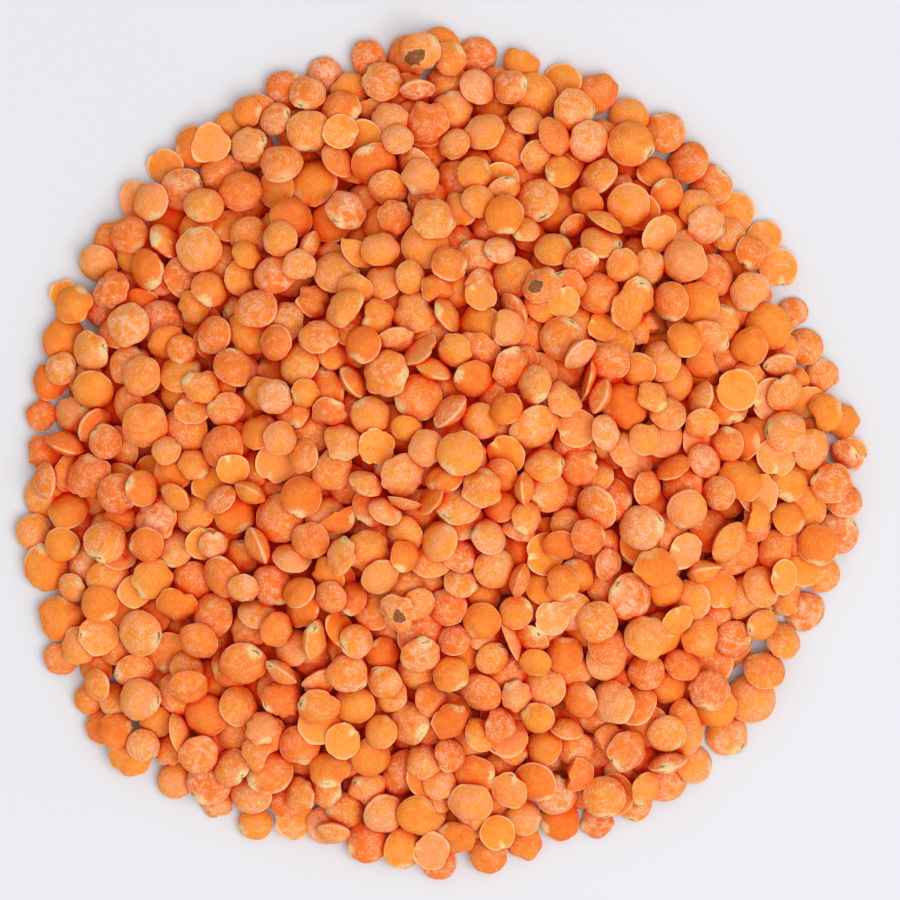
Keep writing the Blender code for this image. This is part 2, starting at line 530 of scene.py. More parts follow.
class Laying:
    """The lentils laid so far, as rows of their values, and the relief that they make."""

    def __init__(self):
        self.draw = np.random.default_rng(sizes().seed + 1)
        self.relief = Relief()
        self.rows = []

    def drop(self, x, y, width, kind, layer, wander):
        """Lays a lentil near a place.

        One that would lie too high is dropped again further off, and is left out after the last try, but
        not at the edge, and not where it has husk.
        """
        half_wide = width * ROUNDED / 2
        thickness = KIND_THICKNESS.get(kind, 1.0) * self.draw.uniform(*THICKNESS_RANGE)
        half_thick = half_wide * sizes().lentil_thickness * thickness
        leans = self.draw.uniform() < sizes().leaning_share and layer in MAY_LEAN and kind != "husked"
        laid_as = (half_wide * NESTLE_WIDE, half_thick * NESTLE_THICK)
        for further in FURTHER_OFF:
            place, normal = settle(
                self.relief, self.draw, x, y, *laid_as, LEANING if leans else LYING, further * wander
            )
            if kind == "husked" or place[2] < middle_height(place[0], place[1]) + HIGHEST_ABOVE:
                break
        else:
            if layer != "edge":
                return
        axes = axes_of(normal, self.draw.uniform(0, 2 * math.pi))
        cut = draw_cut(self.draw, kind)
        self.relief.lay(len(self.rows), place, axes, *laid_as, kind, cut)
        self.rows.append((place, axes, half_wide, half_thick, kind, cut))

    def drop_any(self, x, y, layer, wander, shrink=1.0):
        """Lays a lentil whose width and kind are drawn too."""
        width = lentil_widths(self.draw, 1)[0] * shrink
        self.drop(x, y, width, draw_kinds(self.draw, 1)[0], layer, wander)

    def deepest(self, inset, surface, innermost):
        """Of many places, the one where the relief lies deepest under a surface, and how deep.

        The surface is middle_height raised by so much.
        """
        angles = self.draw.uniform(0, 2 * math.pi, FILL_PLACES)
        shares = np.sqrt(self.draw.uniform(innermost**2, 1, FILL_PLACES))
        x, y = on_heap(angles, shares, inset)
        gaps = middle_height(x, y) + surface - self.relief.around(x, y, sizes().lentil_across * GAP_APART)
        pick = gaps.argmax()
        return x[pick], y[pick], gaps[pick]

    def fill(self, layer, inset, surface, least_gap, most, innermost=0.0, shrink=1.0):
        """Lays lentils in the deepest gaps under a surface, until those left are too shallow."""
        misses = 0
        for _ in range(most):
            x, y, gap = self.deepest(inset, surface, innermost)
            misses += gap < least_gap
            if misses > FILL_MISSES:
                break
            if gap >= least_gap:
                self.drop_any(x, y, layer, FILL_WANDER, shrink)

    def fill_floor(self, most):
        """Lays lentils on the floor behind the edge, each where the lowest relief leaves room for one."""
        across = sizes().lentil_across
        for _ in range(most):
            angles = self.draw.uniform(0, 2 * math.pi, BEHIND_EDGE_PLACES)
            shares = self.draw.uniform(BEHIND_EDGE_FROM, 1.0, BEHIND_EDGE_PLACES)
            x, y = on_heap(angles, shares, across)
            high = self.relief.around(x, y, across * ROOM_APART)
            pick = high.argmin()
            if high[pick] > FLOOR_IS_FREE:
                break
            self.drop_any(x[pick], y[pick], "floor", FLOOR_WANDER)

    def cover_floor(self, most):
        """Lays lentils over the holes that still show the floor inside the edge."""
        for _ in range(most):
            angles = self.draw.uniform(0, 2 * math.pi, HOLE_PLACES)
            shares = self.draw.uniform(HOLES_FROM, 1.0, HOLE_PLACES)
            x, y = on_heap(angles, shares, sizes().lentil_across * HOLES_INSET)
            bare = np.flatnonzero(self.relief.around(x, y, RELIEF_CELL) < FLOOR_SHOWS)
            if len(bare) < HOLES_LEFT:
                break
            self.drop_any(x[bare[0]], y[bare[0]], "border", HOLE_WANDER)

    def lentils(self):
        """The values of all lentils as arrays, and the share of each that shows from above."""
        names = ("place", "axes", "half_wide", "half_thick", "kind", "cut")
        lentils = {name: np.array(values) for name, values in zip(names, zip(*self.rows))}
        owners = self.relief.owner[self.relief.owner >= 0]
        seen = np.bincount(owners, minlength=len(self.rows))
        lentils["seen"] = seen * RELIEF_CELL**2 / (math.pi * lentils["half_wide"] ** 2)
        return lentils


@functools.lru_cache
def laid_lentils():
    """Every lentil of the heap, from the floor up, and how much of it shows from above.

    The edge comes first and then the hidden layers. The lentils in view follow, near the solid's places, a
    few small ones drop into the hollows that are left, and the ones with husk are laid last.
    """
    draw = np.random.default_rng(sizes().seed)
    shown = spread_places(draw, edge_places(draw))
    low = (shown[:, :2] - shown[:, 2:] / 2).min(axis=0)
    high = (shown[:, :2] + shown[:, 2:] / 2).max(axis=0)
    middle = (low + high) / 2
    across, edge = sizes().lentil_across, sizes().edge_lentils

    heap = Laying()
    kinds = draw_kinds(heap.draw, len(shown))
    kinds[:edge][kinds[:edge] == "bit"] = "whole"  # a broken bit would leave a gap in the edge
    for place in HUSKED_PLACES + middle:
        nearest = edge + np.hypot(*(shown[edge:, :2] - place).T).argmin()
        kinds[nearest] = "husked"
        shown[nearest, :2] = place
    with_husk = np.flatnonzero(kinds == "husked")
    without_husk = np.setdiff1d(np.arange(edge, len(shown)), with_husk)

    def drop_shown(numbers, layer, wander):
        for number in numbers:
            heap.drop(*shown[number], kinds[number], layer, wander)

    drop_shown(range(edge), "edge", 0.0)
    heap.fill_floor(most=160)
    heap.fill("under", inset=across * 1.2, surface=-2.9 * MM, least_gap=1.2 * MM, most=1500)
    heap.fill(
        "border", inset=across * 0.75, surface=-1.3 * MM, least_gap=0.5 * MM, most=160, innermost=0.8
    )
    drop_shown(without_husk, "top", TOP_WANDER)
    heap.cover_floor(most=60)
    heap.fill("filler", inset=across * 0.6, surface=0.1 * MM, least_gap=1.1 * MM, most=150, shrink=0.92)
    drop_shown(with_husk, "top", HUSKED_WANDER)

    lentils = heap.lentils()
    lentils["place"][:, :2] -= middle
    return lentils


def directions_all_round(count):
    """Unit vectors evenly spread over a sphere, along a spiral of golden angles."""
    steps = np.arange(count) + 0.5
    tilts = np.arccos(1 - 2 * steps / count)
    return normals_of(tilts, math.pi * (1 + math.sqrt(5)) * steps).T


def openness_of(chosen, points, normals):
    """How free each point of the chosen lentils lies: the share of what it faces that no neighbour hides.

    A line from p along d meets a neighbour's spheroid ahead where the quadratic of spheroid_at, taken
    along d, has roots and its linear part is negative. A split half's spheroid lies on its round side.
    """
    lentils = laid_lentils()
    rays = directions_all_round(RAYS)
    face = lentils["axes"][:, 2]
    kinds = [lentils["kind"] == kind for kind in KIND_MIDDLE]
    middle = np.select(kinds, list(KIND_MIDDLE.values()), 0.0) * lentils["half_thick"]
    place = lentils["place"] + middle[:, None] * face
    uncut = lentils["cut"][:, 1] == UNCUT
    wide = 1 / (lentils["half_wide"] * NESTLE_WIDE) ** 2
    extra = 1 / (lentils["half_thick"] * NESTLE_THICK) ** 2 - wide
    openness = np.empty(points.shape[:2])
    for row, number in enumerate(np.flatnonzero(chosen)):
        apart = np.linalg.norm(place - place[number], axis=1)
        near = np.flatnonzero((apart < NEIGHBOURS_WITHIN) & (apart > 0) & uncut)
        off = points[row][:, None] - place[near]
        off_face = np.einsum("vnk,nk->vn", off, face[near])
        ray_face = rays @ face[near].T
        square = wide[near] + extra[near] * ray_face**2
        linear = wide[near] * np.einsum("vnk,dk->vdn", off, rays)
        linear += (extra[near] * off_face)[:, None] * ray_face
        constant = wide[near] * (off**2).sum(axis=2) + extra[near] * off_face**2 - 1
        met = (linear < 0) & (linear**2 > square * constant[:, None])
        hidden = met | (constant < WELL_INSIDE)[:, None]
        weight = np.maximum(normals[row] @ rays.T, 0.0)
        openness[row] = (weight * ~hidden.any(axis=2)).sum(axis=1) / weight.sum(axis=1)
    return openness


def wavy(draw, count, angles, waves, size):
    """A sum of a few waves round the rim for each lentil, with random phases, growing finer and weaker."""
    total = np.zeros((count, len(angles)))
    for wave in waves:
        phases = draw.uniform(0, 2 * math.pi, (count, 1))
        heights = np.abs(draw.normal(0, size * 2 / wave, (count, 1)))
        total += heights * np.cos(wave * angles + phases)
    return total


def bump_at(angles, middle, width):
    """A smooth hump round the rim at one angle."""
    off = (angles - middle + math.pi) % (2 * math.pi) - math.pi
    return np.exp(-((off / width) ** 2))


def rim_radii(draw, kind, uneven, angles):
    """The rim's radius round each lentil, and how strong the hump of its sprout is.

    The radius is 1 plus waves and a hump beside the sprout, less a notch at it and a nick somewhere. A half
    that shows its flat face has a slit by the sprout too.
    """
    count = len(uneven)
    large = wavy(draw, count, angles, LARGE_WAVES, LARGE_WAVE_HIGH)
    small = wavy(draw, count, angles, SMALL_WAVES, SMALL_WAVE_HIGH)
    rim = 1 + uneven * (large + small)
    hump = draw.uniform(0, 1, (count, 1))
    rim = rim + HUMP_HIGH * hump * bump_at(angles, HUMP_AT, HUMP_WIDE)
    rim = rim - NOTCH_DEEP * hump * bump_at(angles, NOTCH_AT, NOTCH_WIDE)
    nick = draw.uniform(-math.pi, math.pi, (count, 1))
    rim = rim - NICK_DEEP * draw.uniform(0, 1, (count, 1)) ** 3 * bump_at(angles, nick, NICK_WIDE)
    if kind == "half_flat_up":
        rim = rim - SLIT_DEEP * draw.uniform(0, 1, (count, 1)) * bump_at(angles, SLIT_AT, SLIT_WIDE)
    return rim, hump


def cut_radii(draw, rim, cut_at, angles):
    """The rim's radius where a chip cuts it off: a soft minimum of the rim and of a ragged straight line.

    The line's radius is its distance over the cosine of the angle from its direction.
    """
    towards = np.maximum(np.cos(angles - cut_at[:, :1]), 0.05)
    ragged = 1 + wavy(draw, len(rim), angles, RAGGED_WAVES, RAGGED_HIGH)
    cut = np.minimum(np.maximum(cut_at[:, 1:] * ragged, 0.1) / towards, 3.0)
    return -np.log(np.exp(-SOFT_CORNER * rim) + np.exp(-SOFT_CORNER * cut)) / SOFT_CORNER


def swell_of(draw, kind, half_thick):
    """How far a lentil swells above the rim's plane and below it: a split half has one nearly flat side."""
    if kind == "half_flat_up":
        return half_thick * draw.uniform(0.0, FLAT_ABOVE, len(half_thick)), half_thick * HALF_DOME
    if kind == "half_dome_up":
        return half_thick * HALF_DOME, half_thick * FLAT_BELOW
    return half_thick, half_thick


def dents_of(draw, x, y):
    """Shallow dents all over each lentil: a sum of waves along x, along y and three other directions."""
    count = len(x)

    def each(values):
        return values[:, None, None]

    total = each(draw.normal(0, DENT, count)) * np.cos(2.2 * x + each(draw.uniform(0, 6, count)))
    total = total + each(draw.normal(0, DENT, count)) * np.cos(2.6 * y + each(draw.uniform(0, 6, count)))
    for wave in DENT_WAVES:
        turn = each(draw.uniform(0, 2 * math.pi, count))
        along = wave * (x * np.cos(turn) + y * np.sin(turn)) + each(draw.uniform(0, 6, count))
        total = total + each(draw.normal(0, 0.16 / wave, count)) * np.cos(along)
    return total


def lentil_points(draw, kind, half_wide, half_thick, cut_at, around, rings):
    """Points of many lentils, each in its own axes: rings from the lower pole to the rim and up to the other.

    At a share q of the rim's radius the skin lies at high * (BLUNT + (1 - BLUNT) * (1 - q^FALL)^power) above
    or below the rim's plane, which leans a little. Dents and a ridge over the sprout are added.
    """
    count = len(half_wide)
    angles = np.arange(around) * 2 * math.pi / around
    uneven = 0.45 + 1.5 * draw.uniform(0, 1, (count, 1)) ** 2
    rim, hump = rim_radii(draw, kind, uneven, angles)
    edge = cut_radii(draw, rim, cut_at, angles)
    shares = np.sin(np.arange(1, rings + 1) / rings * math.pi / 2)
    radial = shares[None, :, None] * edge[:, None, :]
    fall = 1 - np.minimum(radial / rim[:, None, :], 1.0) ** FALL

    top_power = draw.uniform(*DOME_POWER, count)
    bottom_power = draw.uniform(*DOME_POWER, count)
    top_high, bottom_high = swell_of(draw, kind, half_thick)
    x, y = radial * np.cos(angles), radial * np.sin(angles)
    lean = draw.normal(0, 0.05, (count, 2))
    shape = 1 + dents_of(draw, x, y) * (0.6 + 0.7 * uneven[..., None])

    def skin(high, power):
        return high[:, None, None] * (BLUNT + (1 - BLUNT) * fall ** power[:, None, None]) * shape

    thick, wide = half_thick[:, None, None], half_wide[:, None, None]
    tip = (lean[:, 0, None, None] * x + lean[:, 1, None, None] * y) * thick
    from_ridge = ((x - RIDGE_X) / RIDGE_LONG) ** 2, ((y - RIDGE_Y) / RIDGE_WIDE) ** 2
    ridge = hump[..., None] * np.exp(-from_ridge[0] - from_ridge[1])
    upper = skin(top_high, top_power) + RIDGE_HIGH * ridge * thick
    lower = -skin(bottom_high, bottom_power)
    local_up = np.stack([x * wide, y * wide, upper + tip], axis=-1)
    local_down = np.stack([x * wide, y * wide, lower + tip], axis=-1)
    nought = np.zeros(count)
    pole_up = np.stack([nought, nought, top_high], axis=-1)
    pole_down = np.stack([nought, nought, -bottom_high], axis=-1)
    body = np.concatenate([local_down, local_up[:, ::-1]], axis=1)
    return np.concatenate([pole_down[:, None], body.reshape(count, -1, 3), pole_up[:, None]], axis=1)


def ring_faces(around, ring_count):
    """The corners of one lentil's faces, and how many each face has: a fan, bands of quads, and a fan."""
    here = np.arange(around)
    after = (here + 1) % around
    top_pole = 1 + around * ring_count
    foot = np.column_stack([np.zeros(around, int), 1 + after, 1 + here])
    lower = 1 + around * np.arange(ring_count - 1)[:, None]
    bands = np.stack([lower + here, lower + after, lower + around + after, lower + around + here], axis=-1)
    last = 1 + around * (ring_count - 1)
    crown = np.column_stack([last + here, last + after, np.full(around, top_pole)])
    corners = np.concatenate([foot.ravel(), bands.ravel(), crown.ravel()])
    totals = np.repeat([3, 4, 3], [around, around * (ring_count - 1), around])
    return corners, totals


def mesh_of(name, points, corners, totals, sharp_from=None):
    """A mesh of equal surfaces side by side: points are (count, each, 3), and the faces repeat for each."""
    count, each = points.shape[:2]
    offsets = np.arange(count)[:, None] * each
    all_corners = (corners[None] + offsets).ravel()
    all_totals = np.tile(totals, count)
    starts = np.concatenate([[0], np.cumsum(all_totals)[:-1]])
    mesh = bpy.data.meshes.new(name)
    mesh.vertices.add(count * each)
    mesh.vertices.foreach_set("co", points.astype(np.float32).ravel())
    mesh.loops.add(len(all_corners))
    mesh.loops.foreach_set("vertex_index", all_corners.astype(np.int32))
    mesh.polygons.add(len(all_totals))
    mesh.polygons.foreach_set("loop_start", starts.astype(np.int32))
    mesh.update(calc_edges=True)
    mesh.shade_smooth()
    if sharp_from is not None:
        mesh.set_sharp_from_angle(angle=sharp_from)
    return mesh


def keep(mesh, attribute, values):
    """Stores a vector for each point of a mesh."""
    layer = mesh.attributes.new(attribute, "FLOAT_VECTOR", "POINT")
    layer.data.foreach_set("vector", values.astype(np.float32).ravel())


def add_piece(name, mesh, material):
    piece = bpy.data.objects.new(name, mesh)
    bpy.context.scene.collection.objects.link(piece)
    mesh.materials.append(material)
    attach(piece, BODY)
    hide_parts(NODE)
    return piece


def add_lentils(name, kind, chosen, material, around, rings, sharp_from=None):
    """One piece of all the chosen lentils, with their own axes and nature kept as attributes."""
    lentils = laid_lentils()
    if not chosen.any():
        raise RuntimeError(f"no lentil is laid for {name}")
    draw = np.random.default_rng([sizes().seed, len(name), int(chosen.sum())])
    half_wide, half_thick = lentils["half_wide"][chosen], lentils["half_thick"][chosen]
    local = lentil_points(draw, kind, half_wide, half_thick, lentils["cut"][chosen], around, rings)
    points = np.einsum("nvk,nkj->nvj", local, lentils["axes"][chosen]) + lentils["place"][chosen][:, None]
    points[..., 2] += np.maximum(-points[..., 2].min(axis=1, keepdims=True), 0.0)
    spot = local / np.stack([half_wide, half_wide, half_thick], axis=-1)[:, None]
    count, each = points.shape[:2]
    nature = np.repeat(draw.uniform(0, 1, (count, 1, 3)), each, axis=1)
    corners, totals = ring_faces(around, 2 * rings)
    mesh = mesh_of(name, points, corners, totals, sharp_from)
    normals = np.empty(points.size, np.float32)
    mesh.vertex_normals.foreach_get("vector", normals)
    sky = np.zeros_like(points)
    # how open each point lies, which sets how much painted shade its skin takes
    sky[..., 0] = openness_of(chosen, points, normals.reshape(points.shape))
    keep(mesh, "spot", spot)
    keep(mesh, "nature", nature)
    keep(mesh, "sky", sky)
    return add_piece(name, mesh, material)


def seen_of(kind):
    """Which lentils are of a kind and aren't buried."""
    lentils = laid_lentils()
    return (lentils["kind"] == kind) & (lentils["seen"] >= SEEN_ENOUGH)


class Finish:
    """A Principled material, and short calls that add nodes to it."""

    def __init__(self, name, roughness, specular=0.3):
        self.material = bpy.data.materials.new(name)
        self.material.use_nodes = True
        self.tree = self.material.node_tree
        self.shader = self.tree.nodes["Principled BSDF"]
        self.shader.inputs["Roughness"].default_value = roughness
        self.shader.inputs["Specular IOR Level"].default_value = specular
        self.place = self.add("ShaderNodeTexCoord").outputs["Object"]

    def add(self, kind, inputs=None, **settings):
        node = self.tree.nodes.new(kind)
        for name, value in settings.items():
            setattr(node, name, value)
        for key, value in (inputs or {}).items():
            if isinstance(value, bpy.types.NodeSocket):
                self.tree.links.new(value, node.inputs[key])
            else:
                node.inputs[key].default_value = value
        return node

    def noise(self, scale, detail=2.0, distortion=0.0):
        inputs = {"Vector": self.place, "Scale": scale, "Detail": detail, "Distortion": distortion}
        return self.add("ShaderNodeTexNoise", inputs).outputs["Fac"]

    def maths(self, operation, *values, clamp=False):
        node = self.add("ShaderNodeMath", dict(enumerate(values)), operation=operation, use_clamp=clamp)
        return node.outputs[0]

    def plus(self, *values):
        return functools.reduce(lambda one, other: self.maths("ADD", one, other), values)

    def times(self, *values):
        return functools.reduce(lambda one, other: self.maths("MULTIPLY", one, other), values)

    def scaled(self, value, factor, start):
        """A value times a factor, counted on from a start."""
        return self.maths("MULTIPLY_ADD", value, factor, start)

    def left_by(self, share):
        """What a share leaves of 1."""
        return self.maths("SUBTRACT", 1.0, share)

    def length_of(self, across, up):
        """How long the arrow with these two parts is."""
        squares = [self.maths("POWER", part, 2.0) for part in (across, up)]
        return self.maths("SQRT", self.plus(*squares))

    def from_middle(self, value, middle, width):
        """How far a value lies from a middle, in widths."""
        return self.maths("DIVIDE", self.maths("SUBTRACT", value, middle), width)

    def spread(self, noise, width):
        """Noise brought round 0, and as wide as asked."""
        return self.times(self.maths("SUBTRACT", noise, 0.5), width)

    def between(self, value, low, high):
        """0 below low, 1 above high and a smooth step from one to the other."""
        inputs = {"Value": value, "From Min": low, "From Max": high}
        return self.add("ShaderNodeMapRange", inputs, interpolation_type="SMOOTHSTEP").outputs["Result"]

    def mix(self, share, one, other):
        inputs = {0: share, 6: one, 7: other}
        return self.add("ShaderNodeMix", inputs, data_type="RGBA").outputs[2]

    def richer(self, colour, power):
        """Painted shade: a deeper, richer colour that stands for light meeting the same surface more than
        once.
        """
        return self.add("ShaderNodeGamma", {"Color": colour, "Gamma": power}).outputs["Color"]

    def vector_of(self, attribute):
        return self.add("ShaderNodeAttribute", attribute_name=attribute).outputs["Vector"]

    def parts_of(self, attribute):
        return self.add("ShaderNodeSeparateXYZ", {0: self.vector_of(attribute)}).outputs

    def ramp(self, value, stops):
        node = self.add("ShaderNodeValToRGB", {"Fac": value})
        elements = node.color_ramp.elements
        while len(elements) < len(stops):
            elements.new(1.0)
        for element, (position, colour) in zip(elements, stops):
            element.position = position
            element.color = colour
        return node.outputs["Color"]

    def colour(self, value):
        self.tree.links.new(value, self.shader.inputs["Base Color"])

    def bump(self, height, strength, distance):
        inputs = {"Height": height, "Strength": strength, "Distance": distance}
        node = self.add("ShaderNodeBump", inputs)
        self.tree.links.new(node.outputs["Normal"], self.shader.inputs["Normal"])


class LentilFinish(Finish):
    """A lentil's skin, painted layer over layer, with its marks placed along its own axes."""

    def __init__(self, name, dusty, flat, sprouts):
        super().__init__(name, roughness=0.7, specular=0.06)
        self.dusty, self.flat = dusty, flat
        self.spot_x, self.spot_y, self.spot_z = self.parts_of("spot")
        self.tone, self.dustiness, self.sprouting = self.parts_of("nature")
        self.sky = self.parts_of("sky")[0]
        self.mottle = self.noise(MOTTLE_SCALE, 4.0)
        self.grain = self.noise(GRAIN_SCALE, 4.0, 1.5)
        self.fine = self.noise(FINE_SCALE, 3.0)
        self.streak = self.streaks((3.5, 8.0, 6.0), 3.0)
        crease = self.maths("ABSOLUTE", self.spread(self.streaks((1.6, 4.0, 3.0), 4.0), 1.0))
        self.crease = self.left_by(self.between(crease, 0.0, 0.03))
        self.radius = self.length_of(self.spot_x, self.spot_y)
        self.shows = self.between(self.sprouting, 1 - sprouts - 0.15, 1 - sprouts + 0.15)

    def streaks(self, stretch, detail):
        """Noise along each lentil's own axes, stretched, and another piece of it for each lentil."""
        inputs = {0: self.vector_of("nature"), 1: (70.0, 50.0, 90.0)}
        apart = self.add("ShaderNodeVectorMath", inputs, operation="MULTIPLY").outputs[0]
        inputs = {0: self.vector_of("spot"), 1: stretch, 2: apart}
        place = self.add("ShaderNodeVectorMath", inputs, operation="MULTIPLY_ADD").outputs[0]
        inputs = {"Vector": place, "Scale": 1.0, "Detail": detail}
        return self.add("ShaderNodeTexNoise", inputs).outputs["Fac"]

    def own_orange(self, paint):
        """Each lentil's own tone, mottled."""
        shade = self.plus(self.tone, self.spread(self.mottle, 1.3))
        shade = self.plus(shade, self.spread(self.grain, 0.35), self.spread(self.streak, 0.7))
        stops = [(0.0, paint.deep), (0.4, paint.orange), (0.8, paint.golden), (1.0, paint.salmon)]
        if self.flat:
            stops = [(0.0, paint.orange), (0.35, paint.golden), (1.0, paint.salmon)]
        return self.ramp(shade, [(at, tuple(value)) for at, value in stops])

    def floured(self, skin, paint):
        """Pale flour in patches on the crown, thick on the dustiest lentils, and flecks and grit of it."""
        crown = self.left_by(self.between(self.radius, 0.75, 1.15))
        patches = self.noise(PATCH_SCALE, 3.0, 0.8)
        film = self.between(self.plus(self.spread(patches, 3.0), self.spread(self.streak, 1.2)), -0.5, 0.7)
        specks = self.scaled(self.between(self.grain, 0.44, 0.60), 0.65, 0.30)
        most, least = (1.0, 0.30) if self.dusty else (0.55, 0.08)
        amount = self.scaled(self.dustiness, most - least, least)
        skin = self.mix(self.times(film, specks, crown, amount), skin, tuple(paint.dust))
        thick = self.times(film, crown, self.between(self.dustiness, 0.75, 1.0))
        skin = self.mix(self.times(thick, 0.5 if self.dusty else 0.1), skin, HEAVY_FLOUR)
        fleck = self.times(self.between(self.fine, 0.53, 0.60), film, 0.85)
        grit = self.times(self.between(self.grain, 0.58, 0.66), self.between(film, 0.3, 0.9), 0.75)
        fleck = self.maths("ADD", fleck, grit, clamp=True)
        low, high = (-0.2, 0.5) if self.dusty else (0.2, 1.2)
        return self.mix(self.times(fleck, self.between(self.dustiness, low, high)), skin, FLECK)

    def crease_shade(self, skin, paint):
        """Painted shade: deep orange in thin creases and small pits, which the bump sinks too."""
        strength = self.times(self.between(self.tone, 0.3, 0.9), 0.1 if self.flat else 0.3)
        skin = self.mix(self.times(self.crease, strength), skin, tuple(paint.deep))
        pit_shade = self.left_by(self.between(self.fine, 0.34, 0.46))
        return self.mix(self.times(pit_shade, 0.6), skin, tuple(paint.deep))

    def rimmed(self, skin):
        """A pale line along the rim, which the mottling breaks: partly the rim's own paler skin and partly a
        painted highlight where the edge catches light.
        """
        thin = self.left_by(self.between(self.maths("ABSOLUTE", self.spot_z), 0.06, 0.2))
        broken = self.between(self.mottle, 0.30, 0.52)
        rim = self.times(self.between(self.radius, 0.88, 0.96), thin, broken)
        return self.mix(self.times(rim, 0.85), skin, PALE_RIM_AND_HIGHLIGHT)

    def sprouted(self, skin, paint):
        """The sprout's cream patch by the rim, smudged in its middle, on some of the lentils."""
        long, wide, aside = (0.6, 0.2, 0.06) if self.flat else (0.36, 0.6, 0.18)
        x, y = self.from_middle(self.spot_x, 0.98, long), self.from_middle(self.spot_y, aside, wide)
        away = self.plus(self.length_of(x, y), self.spread(self.streak, 1.3), self.spread(self.grain, 1.3))
        patch = self.times(self.left_by(self.between(away, 0.35, 1.15)), self.shows)
        skin = self.mix(self.times(patch, 0.95), skin, tuple(paint.sprout))
        smudge = self.times(self.left_by(self.between(away, 0.0, 0.7)), self.shows)
        smudge = self.times(smudge, self.between(self.tone, 0.3, 0.7))
        return self.mix(self.times(smudge, 0.5), skin, SMUDGE)

    def scarred(self, skin):
        """The seed's scar: a short frayed dark line along the rim, beside the sprout."""
        out = self.from_middle(self.radius, 0.90, 0.045)
        along = self.from_middle(self.spot_y, self.scaled(self.tone, 0.7, -0.2), 0.20)
        frayed = (self.spread(self.streak, 2.0), self.spread(self.grain, 3.5))
        away = self.plus(self.length_of(out, along), *frayed)
        scar = self.times(self.left_by(self.between(away, 0.3, 1.1)), self.shows)
        scar = self.times(scar, self.between(self.spot_x, 0.0, 0.3), self.between(self.dustiness, 0.2, 0.5))
        return self.mix(self.times(scar, 0.85), skin, SEED_SCAR)

    def with_husk(self, skin, paint):
        """A scrap of speckled brown husk on the upper side, ragged, with a pale torn edge round it."""
        wide = self.scaled(self.tone, 0.2, 0.34)
        x = self.from_middle(self.spot_x, self.scaled(self.sprouting, -0.4, -0.1), wide)
        y = self.from_middle(self.spot_y, -0.18, self.times(wide, 0.8))
        ragged = self.spread(self.noise(RAG_SCALE), 1.8)
        away = self.plus(self.length_of(x, y), ragged, self.spread(self.grain, 0.4))
        scrap = self.times(self.left_by(self.between(away, 0.9, 1.0)), self.between(self.spot_z, 0.0, 0.2))
        brown = self.mix(self.between(self.grain, 0.4, 0.6), tuple(paint.husk), DARK_HUSK)
        brown = self.mix(self.between(self.fine, 0.63, 0.70), brown, HUSK_SPECK)
        torn = self.left_by(self.between(away, 0.98, 1.18))
        skin = self.mix(self.times(torn, 0.5), skin, TORN_EDGE)
        return self.mix(scrap, skin, brown)

    def shaded(self, skin, paint):
        """Painted shade: richer and redder the less the skin lies open, standing for the light that comes to
        it off its neighbours.
        """
        shut_in = self.left_by(self.between(self.sky, 0.1, 0.9))
        skin = self.richer(skin, self.scaled(shut_in, 0.35, 1.0))
        return self.mix(self.left_by(self.between(self.sky, 0.0, 0.5)), skin, tuple(paint.painted_shade_red))

    def roughen(self):
        height = self.plus(self.grain, self.times(self.fine, 0.5), self.streak)
        height = self.maths("SUBTRACT", height, self.times(self.crease, 0.15))
        self.bump(height, 0.5 if self.flat else 1.0, 0.1 * MM)


def lentil_finish(name, dusty, flat=False, husked=False, sprouts=0.7):
    """The material of one kind of lentils. Sprouts is the share of them that shows a sprout's patch."""
    paint = colours()
    finish = LentilFinish(name, dusty, flat, sprouts)
    skin = finish.own_orange(paint)
    skin = finish.floured(skin, paint)
    skin = finish.crease_shade(skin, paint)
    skin = finish.rimmed(skin)
    skin = finish.sprouted(skin, paint)
    skin = finish.scarred(skin)
    if husked:
        skin = finish.with_husk(skin, paint)
    finish.colour(finish.shaded(skin, paint))
    finish.roughen()
    return finish.material


class LENTILS_OT_whole(bpy.types.Operator):
    """Lays the clean whole lentils."""

    bl_idname = "lentils.whole"
    bl_label = "Whole lentils"

    def execute(self, context):
        material = lentil_finish("clean_lentil", dusty=False)
        add_lentils("whole_lentils", "whole", seen_of("whole"), material, around=32, rings=5)
        return {"FINISHED"}


class LENTILS_OT_dusty(bpy.types.Operator):
    """Lays the whole lentils that are rubbed and floury."""

    bl_idname = "lentils.dusty"
    bl_label = "Dusty lentils"

    def execute(self, context):
        material = lentil_finish("dusty_lentil", dusty=True)
        add_lentils("dusty_lentils", "dusty", seen_of("dusty"), material, around=32, rings=5)
        return {"FINISHED"}


class LENTILS_OT_halves(bpy.types.Operator):
    """Lays the split halves, flat side up and dome up."""

    bl_idname = "lentils.halves"
    bl_label = "Split halves"

    def execute(self, context):
        flat = lentil_finish("split_face", dusty=False, flat=True)
        chosen = seen_of("half_flat_up")
        add_lentils("halves_flat_side_up", "half_flat_up", chosen, flat, 32, 6, SHARP_FROM)
        domed = lentil_finish("split_dome", dusty=True)
        chosen = seen_of("half_dome_up")
        add_lentils("halves_dome_up", "half_dome_up", chosen, domed, 30, 6, SHARP_FROM)
        return {"FINISHED"}


class LENTILS_OT_chipped(bpy.types.Operator):
    """Lays the chipped lentils and the broken bits."""

    bl_idname = "lentils.chipped"
    bl_label = "Chipped lentils"

    def execute(self, context):
        material = lentil_finish("chipped_lentil", dusty=False, sprouts=0.3)
        add_lentils("chipped_lentils", "chipped", seen_of("chipped"), material, 36, 6, SHARP_FROM)
        add_lentils("broken_bits", "bit", seen_of("bit"), material, 30, 5, SHARP_FROM)
        return {"FINISHED"}


class LENTILS_OT_husked(bpy.types.Operator):
    """Lays the lentils that have a scrap of husk left on."""

    bl_idname = "lentils.husked"
    bl_label = "Lentils with husk"

    def execute(self, context):
        material = lentil_finish("husked_lentil", dusty=True, husked=True)
        add_lentils("husked_lentils", "husked", laid_lentils()["kind"] == "husked", material, 40, 8)
        return {"FINISHED"}


